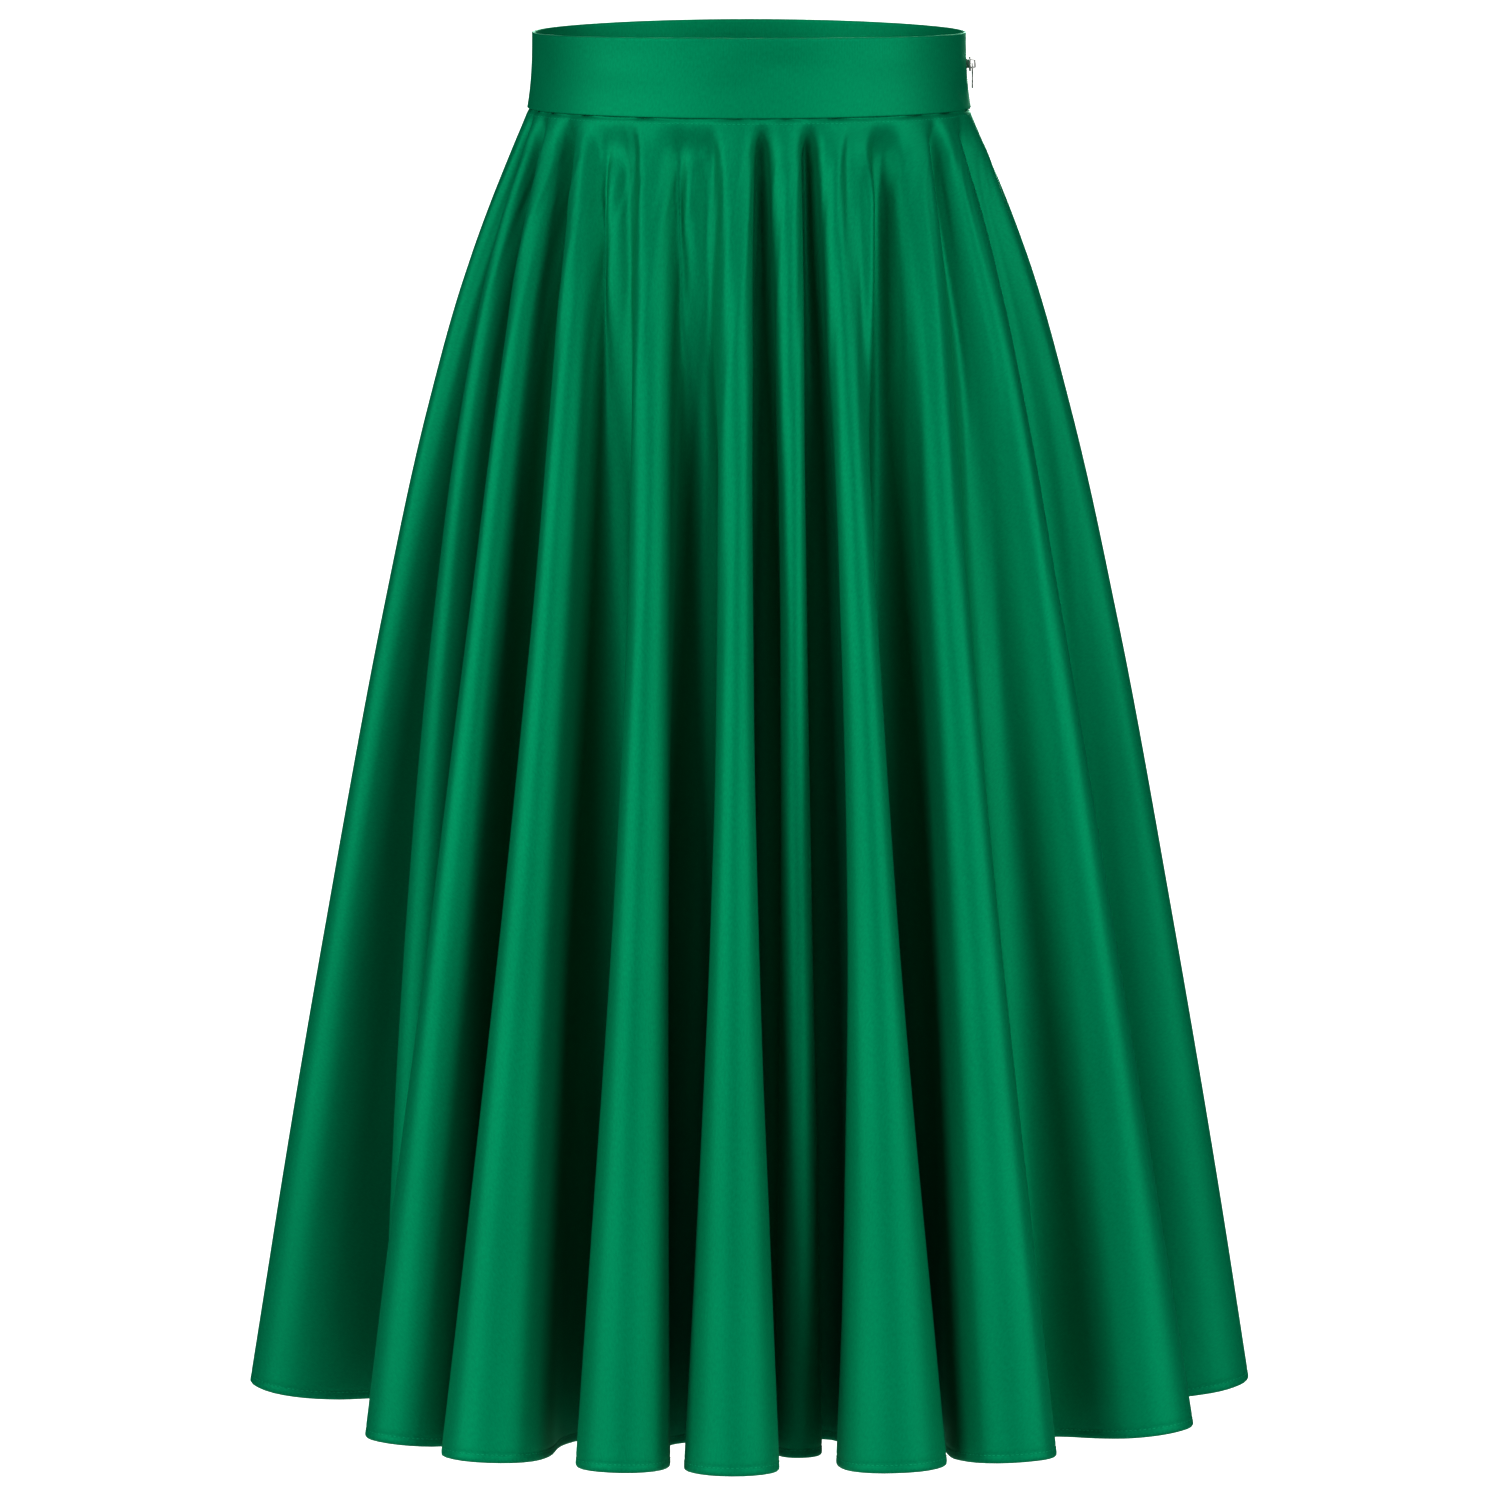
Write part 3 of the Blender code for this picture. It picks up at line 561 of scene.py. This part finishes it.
def ridgeHeight(ridge, length):
    if length <= ridge.peak:
        return ridge.lift * math.sin(0.5 * math.pi * length / ridge.peak) ** 2
    if length >= ridge.fade:
        return 0.0
    past = (length - ridge.peak) / (ridge.fade - ridge.peak)
    return ridge.lift * math.cos(0.5 * math.pi * past) ** 2


def liftRidges(points, length):
    names = [fold.name for fold in folds]
    steps = np.abs(np.roll(points, -1) - points)
    whole = steps.sum()
    halfFold = whole / (2 * len(folds))
    places = np.concatenate(([0.0], np.cumsum(steps)[:-1]))
    outward = points / np.abs(points)
    lifted = points.copy()
    for ridge in ridges + creases:
        middle = places[names.index(ridge.before) * foldColumns] + ridge.offset * halfFold
        away = (places - middle + whole / 2) % whole - whole / 2
        away = away / halfFold / ridge.spread
        wave = (np.cos(math.pi * away) + skirt["ridgeShoulder"]) / (1 + skirt["ridgeShoulder"])
        lifted += outward * ridgeHeight(ridge, length) * wave * np.exp(-away ** 2)
    return lifted


def ripplePoints(points, length):
    steps = np.abs(np.roll(points, -1) - points)
    turns = np.concatenate(([0.0], np.cumsum(steps)[:-1])) / steps.sum()
    outward = 1j * (np.roll(points, 1) - np.roll(points, -1))
    outward = outward / np.abs(outward)
    rise = np.zeros(len(points))
    for ripple in ripples:
        phase = ripple.waves * turns + ripple.phase + ripple.drift * length
        rise += ripple.depth * np.sin(2 * math.pi * phase)
    return points + outward * rise * min(1.0, length / skirt["rippleStart"])


# Levels down the cloth: close together near the waist and the hem, where it turns fastest
levelsBelowSeam = (0.0, 0.0004, 0.0010, 0.0018, 0.003, 0.0045, 0.0065, 0.009)
levelsAboveHem = (0.0125, 0.0085, 0.0068, 0.0060, 0.0052, 0.0036, 0.0018, 0.0006, 0.0)
# A closed span has a level at its end too
Span = namedtuple("Span", "start end count closed")
spans = (
    Span(0.012, 0.060, 14, False), Span(0.060, zipper["end"], 9, False),
    Span(zipper["end"], 0.250, 8, True), Span(0.270, skirt["length"] - 0.020, 24, True),
)


def skirtLevels():
    found = list(levelsBelowSeam)
    for span in spans:
        found += list(np.linspace(span.start, span.end, span.count, endpoint=span.closed))
    return found + [skirt["length"] - rise for rise in levelsAboveHem]


levels = skirtLevels()


def skirtRows():
    stops = np.linspace(0, 1, skirt["columns"], endpoint=False)
    rows = []
    for length in levels:
        valleys, rise, fall = levelSection(length)
        line = []
        for index in range(len(folds)):
            line.append(readPath(valleys[index], rise[0][index], stops))
            line.append(readPath(rise[0][index][-1], fall[0][index], stops))
        points = liftRidges(np.concatenate(line), length)
        rows.append(ripplePoints(points, length))
    return np.array(rows)


def rowHeights(rows):
    # cloth lines keep their length, so what runs out comes up
    drops = np.zeros(rows.shape)
    for index in range(1, len(rows)):
        line = levels[index] - levels[index - 1]
        run = np.minimum(np.abs(rows[index] - rows[index - 1]), skirt["steepestRun"] * line)
        drops[index] = drops[index - 1] + np.sqrt(line ** 2 - run ** 2)
    mean = drops.mean(axis=1)[:, None]
    return -band["height"] / 2 - skirt["gap"] - (mean + skirt["levelShare"] * (drops - mean))


def gridNormals(points):
    normals = np.cross(np.gradient(points, axis=0), np.gradient(points, axis=1))
    return normals / np.linalg.norm(normals, axis=2)[:, :, None]


rows = skirtRows()
skirtPoints = np.stack((rows.real, rows.imag, rowHeights(rows)), axis=2)
print("drape worked out:", skirtPoints.shape)


def clothGrid(name, points, cut, wall, finish, edgeRound=0.0):
    # a grid laid on worked-out points, with its flat cut as UVs, thickened inwards
    rowCount, columnCount = points.shape[:2]
    grid = bmesh.new()
    bmesh.ops.create_grid(grid, x_segments=columnCount - 1, y_segments=rowCount - 1, size=0.5)
    cutLayer = grid.loops.layers.uv.new("cut")
    places = {}
    for vert in grid.verts:
        column = round((vert.co.x + 0.5) * (columnCount - 1))
        row = round((0.5 - vert.co.y) * (rowCount - 1))
        places[vert] = (row, column)
    for face in grid.faces:
        for loop in face.loops:
            loop[cutLayer].uv = cut[places[loop.vert]]
    for vert, place in places.items():
        vert.co = points[place]
    mesh = bpy.data.meshes.new(name)
    grid.to_mesh(mesh)
    grid.free()
    mesh.materials.append(finish)
    mesh.shade_smooth()
    piece = link(bpy.data.objects.new(name, mesh))
    thick = piece.modifiers.new("wall", "SOLIDIFY")
    thick.thickness = wall
    thick.offset = -1
    if edgeRound:
        soft = piece.modifiers.new("edges", "BEVEL")
        soft.width = edgeRound
        soft.segments = band["edgeSegments"]
        soft.limit_method = "ANGLE"
        soft.angle_limit = band["edgeAngle"]
    return piece


def alongRow(line, column, side, reach):
    step = np.linalg.norm(line[column + side] - line[column])
    while reach > step:
        reach -= step
        column += side
        step = np.linalg.norm(line[column + side] - line[column])
    return line[column] + (line[column + side] - line[column]) * reach / step


def openEdge(line, column, side, gap, ease):
    # the points nearest a seam, closed up so that their edge stands back from it
    reaches = [0.0]
    while reaches[-1] < ease:
        at = column + side * len(reaches)
        reaches.append(reaches[-1] + np.linalg.norm(line[at % len(line)] - line[at - side]))
    reaches = np.array(reaches)
    closedUp = gap / 2 + reaches * (1 - gap / 2 / reaches[-1])
    return [alongRow(line, column, side, reach) for reach in closedUp[:-1]]


def zipGap(length):
    # the seam below the zip closes over its last few millimetres
    if length > zipper["end"]:
        return skirt["sewnGap"]
    opening = min(1.0, (zipper["end"] - length) / zipper["closing"])
    return skirt["sewnGap"] + (zipper["gap"] - skirt["sewnGap"]) * opening


def fadeIn(length, reach):
    return max(0.0, 1 - length / reach) ** 2


def roundedIn(points, normals):
    # the top edge turns in under the band, the hem is pressed along its stitches and rolls under
    shaped = points.copy()
    for index, length in enumerate(levels):
        rise = skirt["length"] - length
        inset = skirt["topTuck"] * fadeIn(length, skirt["topTuckReach"])
        fromPress = (rise - skirt["hemPressRise"]) / skirt["hemPressReach"]
        inset += skirt["hemPress"] * math.exp(-fromPress ** 2)
        inset += skirt["hemRoll"] * fadeIn(rise, skirt["hemRollReach"])
        shaped[index] -= normals[index] * inset
    return shaped


# A panel of the skirt, its turn in the flat cut, its outer face, and what is sewn to it
Panel = namedtuple("Panel", "piece turn points normals sewn")


def rowReaches(points):
    # how far each point lies along its row
    steps = np.linalg.norm(np.diff(points, axis=1), axis=2)
    return np.concatenate((np.zeros((len(points), 1)), np.cumsum(steps, axis=1)), axis=1)


def makeSkirtPanels():
    count = skirtPoints.shape[1]
    made = []
    for name, first, last in (("skirt_front", 0, zipColumn), ("skirt_back", zipColumn, count)):
        lines = []
        for length, row in zip(levels, skirtPoints):
            wrapped = np.concatenate((row, row[:1]))
            line = [wrapped[column] for column in range(first, last + 1)]
            gaps = (skirt["sewnGap"], zipGap(length))
            if name == "skirt_back":
                gaps = gaps[::-1]
            opened = openEdge(wrapped, first, 1, gaps[0], zipper["easeReach"])
            line[:len(opened)] = opened
            opened = openEdge(wrapped, last, -1, gaps[1], zipper["easeReach"])[::-1]
            line[-len(opened):] = opened
            lines.append(line)
        points = np.array(lines)
        normals = gridNormals(points)
        reach = rowReaches(points)
        reach -= reach[:, -1:] / 2
        radius = cutRadius + np.array(levels)[:, None]
        turn = reach / radius
        cut = np.stack((radius * np.sin(turn), -radius * np.cos(turn)), axis=2)
        piece = clothGrid(name + "_cloth", roundedIn(points, normals), cut, skirt["wall"], cloth)
        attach(piece, skirtBody)
        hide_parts(name)
        wholeTurn = float(np.mean(2 * turn[len(levels) // 2:, -1]))
        made.append(Panel(piece, wholeTurn, points, normals, []))
    return made


panels = makeSkirtPanels()
for panel in panels:
    print("panel", panel.piece.name, "turn", round(math.degrees(panel.turn), 1), "degrees")

# Waistband
# Soft hollows in the band: angle, share down from the rim, half width, half height and depth
Hollow = namedtuple("Hollow", "angle down halfWidth halfHeight depth")
hollows = (
    Hollow(9, 0.38, 0.020, 0.009, 0.0011), Hollow(-2, 0.62, 0.016, 0.006, 0.0005),
    Hollow(-8, 0.02, 0.012, 0.004, 0.0005), Hollow(76, 0.72, 0.012, 0.008, 0.0010),
    Hollow(-38, 0.45, 0.024, 0.008, -0.0005), Hollow(-70, 0.35, 0.014, 0.010, 0.0006),
    Hollow(40, 0.30, 0.022, 0.009, -0.0004), Hollow(112, 0.50, 0.018, 0.010, 0.0008),
    Hollow(150, 0.40, 0.022, 0.008, 0.0009), Hollow(186, 0.62, 0.018, 0.009, -0.0005),
    Hollow(205, 0.30, 0.020, 0.008, 0.0008), Hollow(244, 0.55, 0.018, 0.010, 0.0007),
)


def bandPoint(share, angle, inset=0.0):
    # share runs from the rim, 0, to the waist seam, 1, where the band flares
    out = share ** band["flarePower"]
    halfWidth = band["rimHalfWidth"] + (band["seamHalfWidth"] - band["rimHalfWidth"]) * out
    halfDepth = band["rimHalfDepth"] + (band["seamHalfDepth"] - band["rimHalfDepth"]) * out
    for hollow in hollows:
        aside = (math.degrees(angle) - hollow.angle + 180) % 360 - 180
        along = math.radians(aside) * halfWidth / hollow.halfWidth
        down = (share - hollow.down) * band["height"] / hollow.halfHeight
        inset += hollow.depth * math.exp(-along ** 2 - down ** 2)
    top = band["height"] / 2 + band["rimLift"] * math.cos(angle) ** 2
    plan = ringPoint((halfWidth, halfDepth), angle, inset)
    return Vector((plan.real, plan.imag, top + (-band["height"] / 2 - top) * share))


def makeWaistbands():
    sewn, opened = skirt["sewnGap"], zipper["gap"]
    for name, start, gaps in (("waistband_front", -90, (sewn, opened)),
                              ("waistband_back", 90, (opened, sewn))):
        first = math.radians(start) + gaps[0] / 2 / band["seamHalfDepth"]
        last = math.radians(start + 180) - gaps[1] / 2 / band["seamHalfDepth"]
        angles = np.linspace(first, last, band["columns"] + 1)
        shares = np.linspace(0, 1, band["rows"] + 1)
        points = np.array([[bandPoint(share, angle) for angle in angles] for share in shares])
        reach = rowReaches(points)
        cut = np.stack(np.broadcast_arrays(reach, -shares[:, None] * band["height"]), axis=2)
        piece = clothGrid(name + "_cloth", points, cut, band["shell"], cloth, band["edgeRound"])
        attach(piece, skirtBody)
        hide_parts(name)


makeWaistbands()
print("waistband made")

# Sewing
stitches = {
    "length": 0.0019, "width": 0.00042, "height": 0.00034, "pitch": 0.0027,
    "seamDrop": 0.0030, "hemRise": 0.0046,
}


def stitchShape():
    shape = bmesh.new()
    bmesh.ops.create_icosphere(shape, subdivisions=1, radius=0.5)
    size = (stitches["length"], stitches["width"], stitches["height"])
    bmesh.ops.scale(shape, verts=shape.verts, vec=size)
    mesh = bpy.data.meshes.new("stitch")
    shape.to_mesh(mesh)
    shape.free()
    return mesh


def repeatShape(name, shape, frames, finish):
    # one mesh of many copies, each in its own frame of along, across and out
    joined = bmesh.new()
    for turn, place in frames:
        count = len(joined.verts)
        joined.from_mesh(shape)
        joined.verts.ensure_lookup_table()
        frameMatrix = Matrix.Translation(place) @ Matrix(turn.tolist()).to_4x4()
        bmesh.ops.transform(joined, matrix=frameMatrix, verts=joined.verts[count:])
    mesh = bpy.data.meshes.new(name)
    joined.to_mesh(mesh)
    joined.free()
    mesh.materials.append(finish)
    mesh.shade_smooth()
    return link(bpy.data.objects.new(name, mesh))


def frameAt(along, out):
    along = along / np.linalg.norm(along)
    across = np.cross(out, along)
    across /= np.linalg.norm(across)
    return np.stack((along, across, np.cross(along, across)), axis=1)


def stitchFrames(line, normals, pitch):
    # evenly spaced frames along a line of points
    steps = np.linalg.norm(np.diff(line, axis=0), axis=1)
    reach = np.concatenate(([0.0], np.cumsum(steps)))
    frames = []
    for at in np.arange(pitch, reach[-1] - pitch, pitch):
        index = np.searchsorted(reach, at) - 1
        share = (at - reach[index]) / steps[index]
        place = line[index] + (line[index + 1] - line[index]) * share
        out = normals[index] + (normals[index + 1] - normals[index]) * share
        frames.append((frameAt(line[index + 1] - line[index], out), place))
    return frames


def lineAtLevel(points, length):
    index = min(max(int(np.searchsorted(levels, length)) - 1, 0), len(levels) - 2)
    share = (length - levels[index]) / (levels[index + 1] - levels[index])
    return points[index] + (points[index + 1] - points[index]) * share


def makeStitches():
    shape = stitchShape()
    rows = (("waist", stitches["seamDrop"]), ("hem", skirt["length"] - stitches["hemRise"]))
    for panel in panels:
        side = panel.piece.name.split("_")[1]
        for row, length in rows:
            line = lineAtLevel(panel.points, length)
            frames = stitchFrames(line, lineAtLevel(panel.normals, length), stitches["pitch"])
            piece = repeatShape(row + "_stitches_" + side, shape, frames, sewing)
            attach(piece, skirtBody)
            panel.sewn.append(piece)


makeStitches()
print("stitches sewn")

# Zip
teeth = {
    "pitch": 0.0026, "length": 0.0026, "height": 0.0010, "thickness": 0.0013, "edge": 0.0003,
    "reach": 0.0005,             # of each head past the middle of the zip
    "out": 0.0002,
}


def bandShares(end, count):
    # levels of the band that the zip runs over, as bandPoint's shares
    return np.linspace(zipper["top"] / band["height"], end, count)


def zipPath():
    # points down the middle of the zip, with the way out of the cloth at each
    line, out = [], []
    for share in bandShares(zipper["teethBandEnd"], zipper["teethBandRows"]):
        line.append(np.array(bandPoint(share, math.pi / 2)))
        out.append(np.array((1.0, 0.0, 0.0)))
    side = zipper["sideColumns"]
    normals = gridNormals(skirtPoints[:, zipColumn - side:zipColumn + side + 1])[:, side]
    for length, point, normal in zip(levels, skirtPoints[:, zipColumn], normals):
        if zipper["trim"] < length <= zipper["end"] - zipper["trim"]:
            line.append(point)
            out.append(normal)
    return np.array(line), np.array(out)


def toothShape(side):
    # a small block whose head hooks over the middle of the zip
    shape = bmesh.new()
    bmesh.ops.create_cube(shape, size=1.0)
    size = (teeth["height"], teeth["length"], teeth["thickness"])
    bmesh.ops.scale(shape, verts=shape.verts, vec=size)
    aside = side * (teeth["length"] / 2 - teeth["reach"])
    bmesh.ops.translate(shape, verts=shape.verts, vec=(0, aside, 0))
    bmesh.ops.bevel(shape, geom=shape.edges[:], offset=teeth["edge"], segments=1, affect="EDGES",
                    profile=0.5, material=-1)
    bmesh.ops.triangulate(shape, faces=shape.faces[:])
    mesh = bpy.data.meshes.new("tooth")
    shape.to_mesh(mesh)
    shape.free()
    return mesh


def makeTeeth():
    # the rows are half a pitch apart, so that their heads mesh
    line, out = zipPath()
    frames = stitchFrames(line, out, teeth["pitch"])
    sunk = teeth["thickness"] / 2 - teeth["out"]
    for name, side, start in (("front", 1, 0.0), ("back", -1, 0.5)):
        ahead = start * teeth["pitch"]
        moved = [(turn, place + turn[:, 0] * ahead - turn[:, 2] * sunk) for turn, place in frames]
        piece = repeatShape("zip_teeth_" + name, toothShape(side), moved, nickel)
        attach(piece, skirtBody)


def makeTapes():
    inset = band["wall"] + zipper["tapeClearance"]
    reaches = np.linspace(zipper["toothRow"] / 2, zipper["tapeWidth"], zipper["tapeColumns"])
    lowered = [row for row, length in zip(skirtPoints, levels)
               if zipper["trim"] < length <= zipper["end"]]
    for name, side in (("zip_tape_front", -1), ("zip_tape_back", 1)):
        ordered = reaches[::-1] if side < 0 else reaches
        lines = []
        for share in bandShares(zipper["tapeBandEnd"], zipper["tapeBandRows"]):
            halfDepth = (1 - share) * band["rimHalfDepth"] + share * band["seamHalfDepth"]
            angles = math.pi / 2 + side * ordered / halfDepth
            lines.append([bandPoint(share, angle, inset) for angle in angles])
        beside = np.array([[alongRow(row, zipColumn, side, reach) for reach in ordered]
                           for row in lowered])
        behind = beside - gridNormals(beside) * inset
        points = np.concatenate((np.array(lines), behind))
        steps = np.linalg.norm(np.diff(points[:, 0], axis=0), axis=1)
        down = np.concatenate(([0.0], np.cumsum(steps)))
        cut = np.stack(np.broadcast_arrays(ordered[None, :], -down[:, None]), axis=2)
        piece = clothGrid(name + "_cloth", points, cut, zipper["tapeWall"], tapeCloth)
        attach(piece, skirtBody)
        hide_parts(name)


makeTeeth()
makeTapes()
print("zip made")

# Slider and pull tab
metalEdges = {
    "merge": 0.000002, "flat": math.radians(2), "sharp": math.radians(30), "segments": 2,
    "sliderRound": 0.00018, "tabRound": 0.00016,
}


def softenNode(node, body, width):
    # a metal node's own form with its edges rounded
    shape = bmesh.new()
    shape.from_mesh(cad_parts[node].data)
    bmesh.ops.remove_doubles(shape, verts=shape.verts, dist=metalEdges["merge"])
    bmesh.ops.dissolve_limit(shape, angle_limit=metalEdges["flat"], verts=shape.verts,
                             edges=shape.edges)
    sharp = [edge for edge in shape.edges
             if edge.is_manifold and edge.calc_face_angle() > metalEdges["sharp"]]
    bmesh.ops.bevel(shape, geom=sharp, offset=width, segments=metalEdges["segments"],
                    affect="EDGES", profile=0.5, material=-1, clamp_overlap=True)
    bmesh.ops.recalc_face_normals(shape, faces=shape.faces)
    mesh = bpy.data.meshes.new(node + "_metal")
    shape.to_mesh(mesh)
    shape.free()
    mesh.materials.clear()
    mesh.materials.append(nickel)
    mesh.shade_smooth()
    piece = link(bpy.data.objects.new(node + "_metal", mesh))
    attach(piece, body)
    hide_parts(node)


softenNode("zip_slider", skirtBody, metalEdges["sliderRound"])
softenNode("zip_pull_tab", tabBody, metalEdges["tabRound"])
print("slider and tab made")
